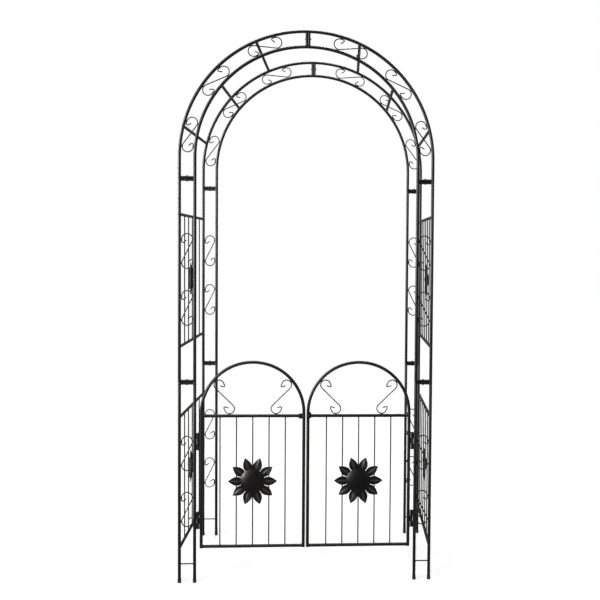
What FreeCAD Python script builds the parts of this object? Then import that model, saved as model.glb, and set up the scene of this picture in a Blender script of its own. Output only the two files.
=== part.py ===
import FreeCAD, Part
import math
import os

V = FreeCAD.Vector

# Garden arch with a double gate, in millimetres.
# X runs to the right seen from the front, Y to the back, Z up.
# The origin is on the ground, in the middle between the four legs.

# Arch frame
overall_height = 2200.0
frame_width = 1000.0
frame_depth = 560.0
ladder_width = 60.0
tube_size = 12.7
tube_wall = 0.9
leg_height = 805.0
arch_foot_length = 83.65
arch_corner_count = 7

# Rungs between the two tubes of a ladder
joint_rung_size = 10.0
foot_rung_size = 5.0
foot_rung_height = 76.0

# Caps under the tubes
cap_height = 14.0
cap_floor = 2.0
cap_wall = 1.2
cap_clearance = 0.05

# Bolts that hold two rungs together at each joint
bolt_size = 4.0
bolt_clearance = 0.3
bolt_head_size = 7.0
bolt_head_height = 1.6
nut_height = 2.2
bolt_stick_out = 0.3

# Bars from the front frame to the back frame over the arch
crossbar_size = 12.0
lower_crossbar_angle = 14.0
inner_crossbar_angle = 40.0
upper_crossbar_angle = 66.0

# Scrolls of bent wire between the tubes
scroll_wire = 4.5
scroll_height = 142.0
scroll_gap = 0.3
scroll_hook_width = 6.5
scroll_hook_depth = 14.5
scroll_corner_count = 4
straight_scroll_spacing = 225.0
straight_scroll_lift = 5.0
arch_scroll_spacing = 238.0

# Side panels between the front legs and the back legs
side_bar_size = 12.0
side_rod_size = 5.0
side_rod_pitch = 86.0
side_rod_count = 5
side_panel_height = 524.0
side_flower_tip_radius = 75.0
side_flower_dome_size = 76.0

# Gate leaves
hinge_offset = 13.0
meeting_gap = 3.8
gate_bottom_rail_height = 145.0
gate_mid_rail_height = 670.0
gate_top_height = 891.0
gate_corner_count = 10
gate_rod_size = 5.0
gate_rod_pitch = 64.4
gate_rod_count = 5
gate_flower_tip_radius = 98.0
gate_flower_dome_size = 98.0
gate_scroll_curl_size = 43.5
gate_scroll_foot_offset = 92.0
gate_scroll_head_angle = 40.0
gate_scroll_corner_count = 6

# Pressed sunflowers; a share is part of the tip radius, or of the dome's reach
petal_count = 10
petal_sheet = 1.2
petal_notch_share = 0.43
petal_wide_share = 0.68
petal_wide_width_share = 0.36
petal_shoulder_share = 0.86
petal_shoulder_width_share = 0.20
petal_ridge_start_share = 0.55
petal_ridge_peak_share = 0.70
petal_ridge_end_share = 0.93
petal_ridge_width_share = 0.16
petal_ridge_height = 2.4
dome_height = 15.0
dome_side_count = 16
dome_ring_shares = (1.0, 0.65, 0.3)

# Hinges, three knuckles on one pin
hinge_heights = (250.0, 567.0)
hinge_length = 68.0
hinge_plate = 1.0
knuckle_size = 9.6
knuckle_gap = 0.4
hinge_pin_size = 5.0
hinge_pin_clearance = 0.22
hinge_pin_head_size = 8.0
hinge_pin_head_height = 2.0

# Drop latch on the meeting stiles
latch_plate = 1.5
latch_plate_width = 27.0
latch_plate_height = 18.0
latch_bar_length = 46.0
latch_bar_width = 9.0
latch_bar_thickness = 3.0
latch_pin_size = 4.0
latch_pin_head_size = 8.0
latch_pin_head_height = 1.6
latch_clearance = 0.3
keeper_plate_width = 19.0
keeper_plate_rise = 25.0
keeper_plate_drop = 20.0
keeper_plate_taper = 12.0
keeper_hook_width = 12.0
keeper_lip_height = 7.0

# Sides of the cross-sections
tube_side_count = 8
rod_side_count = 6
wire_side_count = 4
bolt_side_count = 6

half = 0.5
quarter_turn = 90
tube_radius = tube_size * half
outer_x = frame_width * half
inner_x = outer_x - ladder_width
ladder_x = outer_x - ladder_width * half
arch_centre = overall_height - tube_radius - outer_x
second_joint = arch_centre - arch_foot_length
post_height = second_joint - leg_height
frame_planes = {"front": -frame_depth * half, "back": frame_depth * half}
sides = {"left": -1, "right": 1}
front_y = frame_planes["front"]

hinge_x = inner_x - hinge_offset
hinge_stile_x = hinge_x - hinge_offset
meeting_stile_x = (meeting_gap + tube_size) * half
leaf_centre_x = (hinge_stile_x + meeting_stile_x) * half
leaf_radius = (hinge_stile_x - meeting_stile_x) * half
leaf_arch_centre = gate_top_height - tube_radius - leaf_radius

arch_chord = quarter_turn / arch_corner_count
gate_chord = 2 * quarter_turn / gate_corner_count


def section(centre, along, size, side_count, facing):
    """Closed many-sided outline of the given size across its flats."""
    direction = V(along).normalize()
    side = facing.cross(direction).normalize()
    up = direction.cross(side)
    corner = size * half / math.cos(math.pi / side_count)
    points = []
    for number in range(side_count):
        angle = 2 * math.pi * (number + half) / side_count
        points.append(centre + side * (corner * math.cos(angle)) + up * (corner * math.sin(angle)))
    return Part.makePolygon(points + [points[0]])


def bar(points, size, side_count=tube_side_count, facing=V(0, 1, 0)):
    """Solid bar along straight runs, mitred where they meet."""
    outline = section(points[0], points[1] - points[0], size, side_count, facing)
    return Part.makePolygon(points).makePipeShell([outline], True, False, 1)


def tube(points, size=tube_size, wall=tube_wall):
    """Hollow tube along straight runs."""
    return bar(points, size).cut(bar(points, size - 2 * wall)).Solids[0]


def block(low, high):
    """Box between two opposite corners."""
    size = high - low
    return Part.makeBox(size.x, size.y, size.z, low)


def fused(solids):
    """One clean solid from pieces that overlap or touch."""
    whole = solids[0].fuse(solids[1:]).removeSplitter()
    return whole.Solids[0]


def turned(rings, count):
    """Solid of flat faces between rings, each a radius and a height, on the upright axis."""
    loops = []
    for radius, height in rings:
        turns = [2 * math.pi * number / count for number in range(count)]
        loops.append([V(radius * math.cos(turn), radius * math.sin(turn), height) for turn in turns])
    faces = [Part.Face(Part.makePolygon(loop + [loop[0]])) for loop in (loops[0], loops[-1])]
    for low, high in zip(loops, loops[1:]):
        for number in range(count):
            after = (number + 1) % count
            corners = [low[number], low[after], high[after], high[number], low[number]]
            faces.append(Part.Face(Part.makePolygon(corners)))
    solid = Part.makeSolid(Part.makeShell(faces))
    return outward(solid)


def outward(solid):
    """The same solid with its faces turned outwards."""
    if solid.Volume < 0:
        solid.reverse()
    return solid


def save(name, solids):
    """Write one node, which may hold several separate solids."""
    shape = solids[0] if len(solids) == 1 else Part.makeCompound(solids)
    shape.exportStep("parts/" + name + ".step")


# Arch geometry: each curve is bent in equal chords that touch the true circle

def chord_stretch(angle, chord):
    """How far out a chord lies at an angle, against the circle that it touches."""
    from_middle = (angle + chord * half) % chord - chord * half
    return 1 / math.cos(math.radians(from_middle))


def around(centre, radius, angle, chord):
    """Point on the chorded circle, angle from the horizontal."""
    reach = radius * chord_stretch(angle, chord)
    turn = math.radians(angle)
    return V(centre.x + reach * math.cos(turn), centre.y, centre.z + reach * math.sin(turn))


def mirrored(point, side):
    """Point of the right half, or its mirror image on the left."""
    return V(point.x * side, point.y, point.z)


def arch_point(radius, angle, y, side):
    return mirrored(around(V(0, y, arch_centre), radius, angle, arch_chord), side)


def arch_line(radius, y, side):
    """Centre line of one quarter of the arch, from the second joint to the top."""
    points = [V(radius * side, y, second_joint)]
    for number in range(arch_corner_count):
        points.append(arch_point(radius, (number + half) * arch_chord, y, side))
    points.append(V(0, y, arch_centre + radius))
    return points


def on_ladder(along, across, y, side):
    """Point between the two tubes: along from the ground, across towards the outside."""
    if along <= arch_centre:
        return V((ladder_x + across) * side, y, along)
    angle = math.degrees((along - arch_centre) / ladder_x)
    return arch_point(ladder_x + across, angle, y, side)


# Scroll: two round curls joined by a straight run, each ending in a small hook

def scroll_line(curl, reach, corner_count):
    """Centre line as (across, along) pairs about the middle of the scroll."""
    start = 3 * quarter_turn - math.degrees(math.acos(curl / reach))
    half_line = []
    for number in range(corner_count + 1):
        angle = math.radians(start * (1 - number / corner_count))
        half_line.append((curl * math.cos(angle), reach + curl * math.sin(angle)))
    half_line.append((curl - scroll_hook_width, reach - scroll_hook_depth))
    half_line.append((0.0, reach - scroll_wire * half))
    other_half = [(-across, -along) for across, along in half_line]
    return half_line[::-1] + other_half


def ladder_scroll(along, y, side):
    clear = ladder_width * half - tube_radius
    curl = clear - scroll_gap - scroll_wire * half * 1.1
    reach = (scroll_height - scroll_wire) * half - curl
    line = scroll_line(curl, reach, scroll_corner_count)
    points = [on_ladder(along + rise, across, y, side) for across, rise in line]
    return bar(points, scroll_wire, wire_side_count)


# Ladder frames: legs, posts and arch quarters

def bolt_bore(centre, along):
    reach = along * joint_rung_size
    return bar([centre - reach, centre + reach], bolt_size + 2 * bolt_clearance, bolt_side_count)


def joint_rung(height, y, side):
    """Bored rung across a straight ladder."""
    start = V((inner_x + tube_radius) * side, y, height)
    end = V((outer_x - tube_radius) * side, y, height)
    middle = V(ladder_x * side, y, height)
    return bar([start, end], joint_rung_size).cut(bolt_bore(middle, V(0, 0, 1))).Solids[0]


def top_rung(y, side):
    """Bored upright rung at the top, where the two arch quarters meet."""
    x = joint_rung_size * half * side
    start = V(x, y, arch_centre + inner_x + tube_radius)
    end = V(x, y, arch_centre + outer_x - tube_radius)
    middle = V(x, y, arch_centre + ladder_x)
    return bar([start, end], joint_rung_size).cut(bolt_bore(middle, V(1, 0, 0))).Solids[0]


def foot_rung(y, side):
    start = V((inner_x + tube_radius) * side, y, foot_rung_height)
    end = V((outer_x - tube_radius) * side, y, foot_rung_height)
    return bar([start, end], foot_rung_size, rod_side_count)


def straight_tubes(bottom, top, y, side):
    tubes = []
    for x in (inner_x, outer_x):
        tubes.append(tube([V(x * side, y, bottom), V(x * side, y, top)]))
    return tubes


def make_ladders(plane, y, name, side):
    rung_offset = joint_rung_size * half
    leg = straight_tubes(cap_floor, leg_height, y, side)
    leg += [foot_rung(y, side), joint_rung(leg_height - rung_offset, y, side)]
    save(plane + "_" + name + "_leg", leg)

    post = straight_tubes(leg_height, second_joint, y, side)
    post += [joint_rung(leg_height + rung_offset, y, side)]
    post += [joint_rung(second_joint - rung_offset, y, side)]
    save(plane + "_" + name + "_post", post)

    quarter = [tube(arch_line(inner_x, y, side)), tube(arch_line(outer_x, y, side))]
    quarter += [joint_rung(second_joint + rung_offset, y, side), top_rung(y, side)]
    save(plane + "_" + name + "_arch", quarter)


def make_scrolls(plane, y, name, side):
    middles = []
    for bottom, length in ((0.0, leg_height), (leg_height, post_height)):
        middle = bottom + length * half + straight_scroll_lift
        middles += [middle - straight_scroll_spacing * half, middle + straight_scroll_spacing * half]
    arch_length = arch_centre - second_joint + ladder_x * math.pi * half
    arch_middle = second_joint + arch_length * half
    middles += [arch_middle + step * arch_scroll_spacing for step in (-1, 0, 1)]
    save(plane + "_" + name + "_scrolls", [ladder_scroll(middle, y, side) for middle in middles])


def make_caps():
    caps = []
    outside = tube_size + 2 * (cap_clearance + cap_wall)
    for y in frame_planes.values():
        for side in sides.values():
            for x in (inner_x, outer_x):
                foot = V(x * side, y, 0)
                shell = bar([foot, foot + V(0, 0, cap_height)], outside)
                pocket = bar([foot + V(0, 0, cap_floor), foot + V(0, 0, cap_height + cap_floor)],
                             tube_size + 2 * cap_clearance)
                caps.append(shell.cut(pocket).Solids[0])
    save("foot_caps", caps)


# Bolts and nuts at the joints

def bolt_and_nut(centre, along):
    """Bolt through two rungs that touch at the centre, its nut on the far side."""
    head_seat = centre - along * joint_rung_size
    nut_seat = centre + along * joint_rung_size
    nut_end = nut_seat + along * nut_height
    shank = bar([head_seat, nut_end + along * bolt_stick_out], bolt_size, bolt_side_count)
    head = bar([head_seat - along * bolt_head_height, head_seat], bolt_head_size, bolt_side_count)
    hole = bar([nut_seat, nut_end], bolt_size + bolt_clearance * half, bolt_side_count)
    nut = bar([nut_seat, nut_end], bolt_head_size, bolt_side_count).cut(hole).Solids[0]
    return fused([head, shank]), nut


def make_bolts():
    bolts = []
    nuts = []
    places = []
    for y in frame_planes.values():
        places.append((V(0, y, arch_centre + ladder_x), V(1, 0, 0)))
        for side in sides.values():
            for height in (leg_height, second_joint):
                places.append((V(ladder_x * side, y, height), V(0, 0, 1)))
    for centre, along in places:
        bolt, nut = bolt_and_nut(centre, along)
        bolts.append(bolt)
        nuts.append(nut)
    save("joint_bolts", bolts)
    save("joint_nuts", nuts)


# Crossbars and side panels between the two frames

def depth_bar(x, height, size):
    reach = frame_depth * half - tube_radius
    return bar([V(x, -reach, height), V(x, reach, height)], size, tube_side_count, V(0, 0, 1))


def make_crossbars(name, side):
    places = {"lower": (outer_x, lower_crossbar_angle),
              "inner": (inner_x, inner_crossbar_angle),
              "upper": (outer_x, upper_crossbar_angle)}
    for level, (radius, angle) in places.items():
        point = arch_point(radius, angle, 0, side)
        save(name + "_" + level + "_crossbar", [depth_bar(point.x, point.z, crossbar_size)])


def make_side_panels(name, side):
    x = outer_x * side
    middles = {"lower": leg_height * half, "upper": leg_height + post_height * half}
    for level, middle in middles.items():
        bottom = middle - side_panel_height * half
        top = middle + side_panel_height * half
        panel = [depth_bar(x, bottom, side_bar_size), depth_bar(x, top, side_bar_size)]
        for number in range(side_rod_count):
            y = (number - (side_rod_count - 1) * half) * side_rod_pitch
            low = V(x, y, bottom + side_bar_size * half)
            high = V(x, y, top - side_bar_size * half)
            panel.append(bar([low, high], side_rod_size, rod_side_count))
        save(name + "_" + level + "_side_panel", panel)

        seat = V(x + side_rod_size * half * side, 0, middle)
        petals, dome = flower(side_flower_tip_radius, side_flower_dome_size, seat, quarter_turn * side)
        save(name + "_" + level + "_side_petals", [petals])
        save(name + "_" + level + "_side_flower_centre", [dome])


# Pressed sunflower: a sheet of pointed petals, each with a raised ridge, under a dome

def petal_corners(tip, angle):
    """Outline of one petal, from the notch before it to its last corner before the next notch."""
    shape = ((petal_wide_share, -petal_wide_width_share),
             (petal_shoulder_share, -petal_shoulder_width_share),
             (1.0, 0.0),
             (petal_shoulder_share, petal_shoulder_width_share),
             (petal_wide_share, petal_wide_width_share))
    notch_turn = math.radians(angle - 2 * quarter_turn / petal_count)
    notch = petal_notch_share * tip
    corners = [V(notch * math.cos(notch_turn), notch * math.sin(notch_turn), 0)]
    turn = math.radians(angle)
    for radius, width in shape:
        x = radius * tip
        y = width * half * tip
        corners.append(V(x * math.cos(turn) - y * math.sin(turn), x * math.sin(turn) + y * math.cos(turn), 0))
    return corners


def petal_ridge(tip, angle):
    """Raised ridge along the middle of a petal, with a little depth inside the sheet."""
    peak_x = petal_ridge_peak_share * tip
    peak_y = petal_ridge_width_share * half * tip
    base = [V(petal_ridge_start_share * tip, 0, 0), V(peak_x, peak_y, 0),
            V(petal_ridge_end_share * tip, 0, 0), V(peak_x, -peak_y, 0)]
    peak = V(peak_x, 0, petal_sheet + petal_ridge_height)
    faces = [Part.Face(Part.makePolygon(base + [base[0]]))]
    for start, end in zip(base, base[1:] + base[:1]):
        faces.append(Part.Face(Part.makePolygon([start, end, peak, start])))
    ridge = outward(Part.makeSolid(Part.makeShell(faces)))
    ridge.rotate(V(0, 0, 0), V(0, 0, 1), angle)
    return ridge


def flower(tip, dome_size, seat, facing):
    """Petal sheet and dome on a seat, facing an angle about the vertical, 0 to the front."""
    corners = []
    ridges = []
    for number in range(petal_count):
        angle = 4 * quarter_turn * number / petal_count
        corners += petal_corners(tip, angle)
        ridges.append(petal_ridge(tip, angle))
    sheet = Part.Face(Part.makePolygon(corners + [corners[0]])).extrude(V(0, 0, petal_sheet))
    petals = fused([sheet] + ridges)

    radius = dome_size * half
    ball = (radius ** 2 + dome_height ** 2) / (2 * dome_height)
    lean = math.asin(radius / ball)
    rings = []
    for share in dome_ring_shares:
        rise = petal_sheet + dome_height - ball * (1 - math.cos(lean * share))
        rings.append((ball * math.sin(lean * share), rise))
    dome = turned(rings, dome_side_count)

    turn = FreeCAD.Rotation(V(0, 0, 1), facing) * FreeCAD.Rotation(V(1, 0, 0), quarter_turn)
    for piece in (petals, dome):
        piece.Placement = FreeCAD.Placement(seat, turn)
    return petals, dome


# Gate leaves

def leaf_point(offset, height, side):
    """Point in the gate plane, offset from the middle of the leaf towards the hinges."""
    return V((leaf_centre_x + offset) * side, front_y, height)


def leaf_scroll(end, side):
    """Scroll between the mid rail and the leaf's arch, at the hinge end or the meeting end."""
    outside = gate_scroll_curl_size * half
    curl = outside - scroll_wire * half
    arch_reach = leaf_radius - tube_radius - scroll_gap - outside
    turn = math.radians(gate_scroll_head_angle)
    foot_height = gate_mid_rail_height + tube_radius + scroll_gap + outside
    foot = V(gate_scroll_foot_offset, 0, foot_height)
    head = V(arch_reach * math.cos(turn), 0, leaf_arch_centre + arch_reach * math.sin(turn))
    upward = head - foot
    reach = upward.Length * half
    upward.normalize()
    across_way = V(-upward.z, 0, upward.x)
    middle = (head + foot) * half
    points = []
    for across, along in scroll_line(curl, reach, gate_scroll_corner_count):
        place = middle + upward * along + across_way * across
        points.append(leaf_point(place.x * end, place.z, side))
    return bar(points, scroll_wire, wire_side_count)


def make_leaf(name, side):
    bottom = gate_bottom_rail_height - tube_radius
    line = [leaf_point(leaf_radius, bottom, side)]
    centre = V(0, 0, leaf_arch_centre)
    for number in range(gate_corner_count):
        corner = around(centre, leaf_radius, (number + half) * gate_chord, gate_chord)
        line.append(leaf_point(corner.x, corner.z, side))
    line.append(leaf_point(-leaf_radius, bottom, side))
    frame = [tube(line)]
    rail_reach = leaf_radius - tube_radius
    for height in (gate_bottom_rail_height, gate_mid_rail_height):
        frame.append(tube([leaf_point(-rail_reach, height, side), leaf_point(rail_reach, height, side)]))
    save(name + "_gate_frame", frame)

    rods = []
    for number in range(gate_rod_count):
        offset = (number - (gate_rod_count - 1) * half) * gate_rod_pitch
        low = leaf_point(offset, gate_bottom_rail_height + tube_radius, side)
        high = leaf_point(offset, gate_mid_rail_height - tube_radius, side)
        rods.append(bar([low, high], gate_rod_size, rod_side_count, V(1, 0, 0)))
    save(name + "_gate_rods", rods)

    save(name + "_gate_scrolls", [leaf_scroll(1, side), leaf_scroll(-1, side)])

    middle = (gate_bottom_rail_height + gate_mid_rail_height) * half
    seat = leaf_point(0, middle, side) - V(0, gate_rod_size * half, 0)
    petals, dome = flower(gate_flower_tip_radius, gate_flower_dome_size, seat, 0)
    save(name + "_gate_petals", [petals])
    save(name + "_gate_flower_centre", [dome])


# Hinges: two knuckles on the frame's plate, one on the gate's plate, and the pin

def hinge_block(x_low, x_high, low, high, side):
    """Box as wide as a tube's flat, between two distances from the middle of the arch."""
    flat = tube_size * math.tan(math.pi / tube_side_count) * half
    ends = sorted((x_low * side, x_high * side))
    return block(V(ends[0], front_y - flat, low), V(ends[1], front_y + flat, high))


def knuckle(low, high, seat_x, side):
    """Barrel round the hinge axis, with a web to its plate."""
    axis_low = V(hinge_x * side, front_y, low)
    axis_high = V(hinge_x * side, front_y, high)
    web = hinge_block(min(hinge_x, seat_x), max(hinge_x, seat_x), low, high, side)
    return [bar([axis_low, axis_high], knuckle_size), web]


def hinge(height, side):
    low = height - hinge_length * half
    high = height + hinge_length * half
    share = hinge_length / 3
    frame_seat = inner_x - tube_radius
    gate_seat = hinge_stile_x + tube_radius
    bore_size = hinge_pin_size + 2 * hinge_pin_clearance
    bore = bar([V(hinge_x * side, front_y, low), V(hinge_x * side, front_y, high)], bore_size)

    frame_leaf = [hinge_block(frame_seat - hinge_plate, frame_seat, low, high, side)]
    frame_leaf += knuckle(low, low + share - knuckle_gap * half, frame_seat, side)
    frame_leaf += knuckle(high - share + knuckle_gap * half, high, frame_seat, side)
    gate_leaf = [hinge_block(gate_seat, gate_seat + hinge_plate, low, high, side)]
    gate_leaf += knuckle(low + share + knuckle_gap * half, high - share - knuckle_gap * half, gate_seat, side)

    pin = bar([V(hinge_x * side, front_y, low), V(hinge_x * side, front_y, high)], hinge_pin_size)
    head = bar([V(hinge_x * side, front_y, high), V(hinge_x * side, front_y, high + hinge_pin_head_height)],
               hinge_pin_head_size)
    return fused(frame_leaf).cut(bore).Solids[0], fused(gate_leaf).cut(bore).Solids[0], fused([pin, head])


def make_hinges(name, side):
    hinges = [hinge(height, side) for height in hinge_heights]
    for number, piece in enumerate(("frame_leaves", "gate_leaves", "pins")):
        save(name + "_hinge_" + piece, [parts[number] for parts in hinges])


# Drop latch: a bar pivoted on the left leaf, drawn raised, and a hook on the right leaf

def make_latch():
    face = front_y - tube_radius
    plate_front = face - latch_plate
    bar_back = plate_front - latch_clearance
    bar_front = bar_back - latch_bar_thickness
    height = gate_mid_rail_height
    bar_top = height + latch_bar_length
    pivot_x = -meeting_stile_x
    inner_edge = -meeting_gap * half

    plate = block(V(inner_edge - latch_plate_width, plate_front, height - latch_plate_height * half),
                  V(inner_edge, face, height + latch_plate_height * half))
    pin_hole = bar([V(pivot_x, face, height), V(pivot_x, bar_front, height)],
                   latch_pin_size + latch_clearance, tube_side_count, V(0, 0, 1))
    save("latch_bracket", [plate.cut(pin_hole).Solids[0]])

    eye = bar([V(pivot_x, bar_front, height), V(pivot_x, bar_back, height)],
              latch_bar_width, tube_side_count, V(0, 0, 1))
    shaft = block(V(pivot_x - latch_bar_width * half, bar_front, height),
                  V(pivot_x + latch_bar_width * half, bar_back, bar_top))
    grip = block(V(pivot_x - latch_bar_width * half, bar_front - latch_bar_width, bar_top - latch_bar_thickness),
                 V(pivot_x + latch_bar_width * half, bar_front, bar_top))
    save("latch_bar", [fused([eye, shaft, grip]).cut(pin_hole).Solids[0]])

    shank = bar([V(pivot_x, face, height), V(pivot_x, bar_front - latch_clearance, height)],
                latch_pin_size, tube_side_count, V(0, 0, 1))
    cap_start = bar_front - latch_clearance
    cap = bar([V(pivot_x, cap_start, height), V(pivot_x, cap_start - latch_pin_head_height, height)],
              latch_pin_head_size, tube_side_count, V(0, 0, 1))
    save("latch_pin", [fused([shank, cap])])

    low_x = meeting_stile_x - keeper_hook_width * half
    high_x = meeting_stile_x + keeper_hook_width * half
    far_x = low_x + keeper_plate_width
    outline = [V(low_x, face, height - keeper_plate_drop), V(low_x, face, height + keeper_plate_rise),
               V(far_x, face, height + keeper_plate_rise - keeper_plate_taper),
               V(far_x, face, height - tube_radius)]
    back = Part.Face(Part.makePolygon(outline + outline[:1])).extrude(V(0, plate_front - face, 0))
    shelf_top = height - latch_bar_width * half - latch_clearance
    shelf_bottom = shelf_top - latch_plate
    lip_back = bar_front - latch_clearance
    lip_front = lip_back - latch_plate
    shelf = block(V(low_x, lip_front, shelf_bottom), V(high_x, plate_front, shelf_top))
    lip = block(V(low_x, lip_front, shelf_bottom), V(high_x, lip_back, shelf_top + keeper_lip_height))
    save("latch_keeper", [fused([back, shelf, lip])])


os.makedirs("parts", exist_ok=True)
for plane, y in frame_planes.items():
    for name, side in sides.items():
        make_ladders(plane, y, name, side)
        make_scrolls(plane, y, name, side)
make_caps()
make_bolts()
for name, side in sides.items():
    make_crossbars(name, side)
    make_side_panels(name, side)
    make_leaf(name, side)
    make_hinges(name, side)
make_latch()
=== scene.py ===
import math
import bmesh
import bpy
from mathutils import Matrix, Vector


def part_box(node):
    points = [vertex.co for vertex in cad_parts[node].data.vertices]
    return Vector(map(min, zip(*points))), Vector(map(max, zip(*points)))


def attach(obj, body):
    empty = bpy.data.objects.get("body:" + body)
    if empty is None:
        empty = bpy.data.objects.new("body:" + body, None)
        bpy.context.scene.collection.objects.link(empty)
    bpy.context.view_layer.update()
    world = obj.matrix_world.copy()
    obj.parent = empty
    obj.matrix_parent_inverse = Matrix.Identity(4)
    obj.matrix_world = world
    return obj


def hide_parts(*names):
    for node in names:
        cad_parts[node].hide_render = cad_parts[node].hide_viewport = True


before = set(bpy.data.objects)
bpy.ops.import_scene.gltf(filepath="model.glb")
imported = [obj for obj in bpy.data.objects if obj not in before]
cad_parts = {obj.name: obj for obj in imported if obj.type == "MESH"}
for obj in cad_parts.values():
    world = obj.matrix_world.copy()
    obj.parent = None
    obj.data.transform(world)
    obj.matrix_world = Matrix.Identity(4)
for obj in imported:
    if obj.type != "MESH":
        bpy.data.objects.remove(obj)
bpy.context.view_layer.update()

# Garden arch with a double gate: smooth tubes, bent wire scrolls, pressed sunflowers.
# Lengths are in metres, X to the right, Y to the back, Z up.

mm = 0.001
upward = Vector((0, 0, 1))
rightward = Vector((1, 0, 0))
backward = Vector((0, 1, 0))
sides = {"left": -1, "right": 1}

# main places, read from the frame
legLow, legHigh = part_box("front_right_leg")
tubeRadius = (legHigh.y - legLow.y) / 2
outerX = legHigh.x - tubeRadius
innerX = legLow.x + tubeRadius
ladderX = (innerX + outerX) / 2
frontY = (legLow.y + legHigh.y) / 2
planes = {"front": frontY, "back": -frontY}
legBottom = legLow.z
legTop = legHigh.z
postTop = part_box("front_right_post")[1].z
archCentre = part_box("front_right_arch")[1].z - tubeRadius - outerX

gateLow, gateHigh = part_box("right_gate_frame")
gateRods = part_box("right_gate_rods")
leafRadius = (gateHigh.x - gateLow.x) / 2 - tubeRadius
leafX = (gateHigh.x + gateLow.x) / 2
leafArchCentre = gateHigh.z - tubeRadius - leafRadius
bottomRail = gateLow.z + tubeRadius
midRail = gateRods[1].z + tubeRadius
print("frame read: legs at x", round(innerX, 4), "and", round(outerX, 4))


# Node trees: one method makes any node, its settings first and its sockets after

class Flow:        # a socket, on which maths is written as an expression
    def __init__(self, owner, socket):
        self.owner = owner
        self.socket = socket

    def maths(self, operation, first, second=0.0):
        return self.owner.node("ShaderNodeMath", {"operation": operation}, {0: first, 1: second})

    def __add__(self, other):
        return self.maths("ADD", self, other)

    def __radd__(self, other):
        return self.maths("ADD", other, self)

    def __sub__(self, other):
        return self.maths("SUBTRACT", self, other)

    def __rsub__(self, other):
        return self.maths("SUBTRACT", other, self)

    def __mul__(self, other):
        return self.maths("MULTIPLY", self, other)

    def __rmul__(self, other):
        return self.maths("MULTIPLY", other, self)

    def __truediv__(self, other):
        return self.maths("DIVIDE", self, other)

    def __rtruediv__(self, other):
        return self.maths("DIVIDE", other, self)

    def between(self, low, high):        # 0 below low, 1 above high, smooth between
        return self.owner.node("ShaderNodeMapRange", {"interpolation_type": "SMOOTHSTEP"},
                               {"Value": self, "From Min": low, "From Max": high})


class NodeMaker:
    def __init__(self, tree):
        self.tree = tree

    def node(self, kind, settings=None, sockets=None, output=0):        # links a Flow, sets other values
        made = self.tree.nodes.new(kind)
        for name, value in (settings or {}).items():
            setattr(made, name, value)
        for key, value in (sockets or {}).items():
            if isinstance(value, Flow):
                self.tree.links.new(value.socket, made.inputs[key])
            else:
                made.inputs[key].default_value = value
        return Flow(self, made.outputs[output]) if len(made.outputs) else None

    def mixed(self, factor, first, second):        # two colours by a factor
        return self.node("ShaderNodeMix", {"data_type": "RGBA"}, {0: factor, 6: first, 7: second}, output=2)

    def noise(self, place, scale, detail, rough=0.55):
        return self.node("ShaderNodeTexNoise", {}, {
            "Vector": place, "Scale": scale, "Detail": detail, "Roughness": rough})

    def attribute(self, name, kind="FLOAT"):        # a value that the points of a path carry
        return self.node("GeometryNodeInputNamedAttribute", {"data_type": kind}, {"Name": name})


def newTree(name, inputs):
    tree = bpy.data.node_groups.new(name, "GeometryNodeTree")
    tree.interface.new_socket("Geometry", in_out="INPUT", socket_type="NodeSocketGeometry")
    tree.interface.new_socket("Geometry", in_out="OUTPUT", socket_type="NodeSocketGeometry")
    for label, kind in inputs.items():
        tree.interface.new_socket(label, in_out="INPUT", socket_type="NodeSocket" + kind)
    make = NodeMaker(tree)
    start = make.node("NodeGroupInput").socket.node
    return make, {socket.name: Flow(make, socket) for socket in start.outputs if socket.name}


def closedTree(make, geometry, material):        # every tree ends in real faces with their material
    real = make.node("GeometryNodeRealizeInstances", {}, {"Geometry": geometry})
    painted = make.node("GeometryNodeSetMaterial", {}, {"Geometry": real, "Material": material})
    make.node("NodeGroupOutput", {}, {"Geometry": painted})
    return make.tree


def inScene(name, data):
    made = bpy.data.objects.new(name, data)
    bpy.context.scene.collection.objects.link(made)
    return made


def modified(source, kind, settings, inputs):        # plain mesh that a modifier makes of a source mesh
    holder = inScene("holder", source)
    modifier = holder.modifiers.new("change", kind)
    for name, value in settings.items():
        setattr(modifier, name, value)
    for identifier, value in inputs.items():
        modifier[identifier] = value
    graph = bpy.context.evaluated_depsgraph_get()
    mesh = bpy.data.meshes.new_from_object(holder.evaluated_get(graph), depsgraph=graph)
    holder.modifiers.remove(modifier)
    bpy.data.objects.remove(holder)
    return mesh


def runTree(source, tree, values):        # values by the names of the tree's inputs
    inputs = {item.identifier: values[item.name] for item in tree.interface.items_tree
              if item.in_out == "INPUT" and item.name in values}
    return modified(source, "NODES", {"node_group": tree}, inputs)


# Materials: black powder coat on steel, blackened fasteners, moulded plastic

coat = {
    "black": (0.0020, 0.0020, 0.0022, 1),
    "brown": (0.0070, 0.0054, 0.0046, 1),
    "dust": (0.0240, 0.0225, 0.0210, 1),
    # painted highlight for the raised ridges of pressed parts; the hollows stay black as painted shade
    "paintedRidgeHighlight": (0.0480, 0.0470, 0.0480, 1),
    "brownShare": 0.75,
    "smudgeShare": 0.16,
    "grainShare": 0.22,
    "brownBand": (0.42, 0.66),        # noise levels at which a patch starts and is full
    "smudgeBand": (0.56, 0.78),
    "grainBand": (0.60, 0.74),
    "roughBand": (0.35, 0.75),
    "paintedRidgeHighlightBand": (0.06, 0.80),
    "roughness": 0.40,
    "roughnessSpread": 0.10,
    "specular": 0.085,
    "wireGloss": 0.04,
    "pressedSpecular": 0.065,
    "pressedGloss": 0.08,
    # a shaded copy of the same coat for crossbars and side bars: less reflection and a rougher finish so
    # they render darker, painted shade
    "shadedBarSpecular": 0.030,
    "shadedBarGloss": -0.12,
    "cloudScale": 7,
    "smudgeScale": 63,
    "peelScale": 330,
    "grainScale": 2300,
    "peelHeight": 0.00005,
    "grainHeight": 0.18,        # against the peel's
    "smudgeHeight": 2.0,
}
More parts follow.
